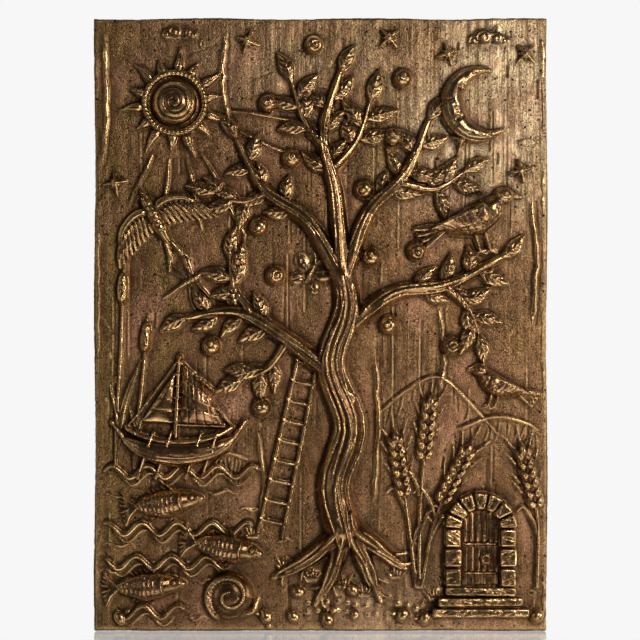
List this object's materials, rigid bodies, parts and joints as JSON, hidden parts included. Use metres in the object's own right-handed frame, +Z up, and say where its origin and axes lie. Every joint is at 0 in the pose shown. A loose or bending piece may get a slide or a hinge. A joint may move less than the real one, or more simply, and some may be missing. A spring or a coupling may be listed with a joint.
{
  "type": "relief plaque",
  "caption": "Upright rectangular wall plaque in cast bronze, with a high relief of a tree, birds, sun, moon, boat, fish and a stone gateway on its front and a flat back.",
  "frame": {"origin": "middle of the flat back, where the plaque meets the wall", "axes": "+Z up along the plaque's height, +X to the right of a viewer in front, +Y into the wall, so the relief faces -Y"},
  "size_m": [0.311, 0.0257, 0.42],
  "materials": {
    "bronze": "brown patinated cast bronze, golden where it is worn"
  },
  "bodies": {
    "root": {"relief_plaque": "bronze"}
  },
  "joints": []
}
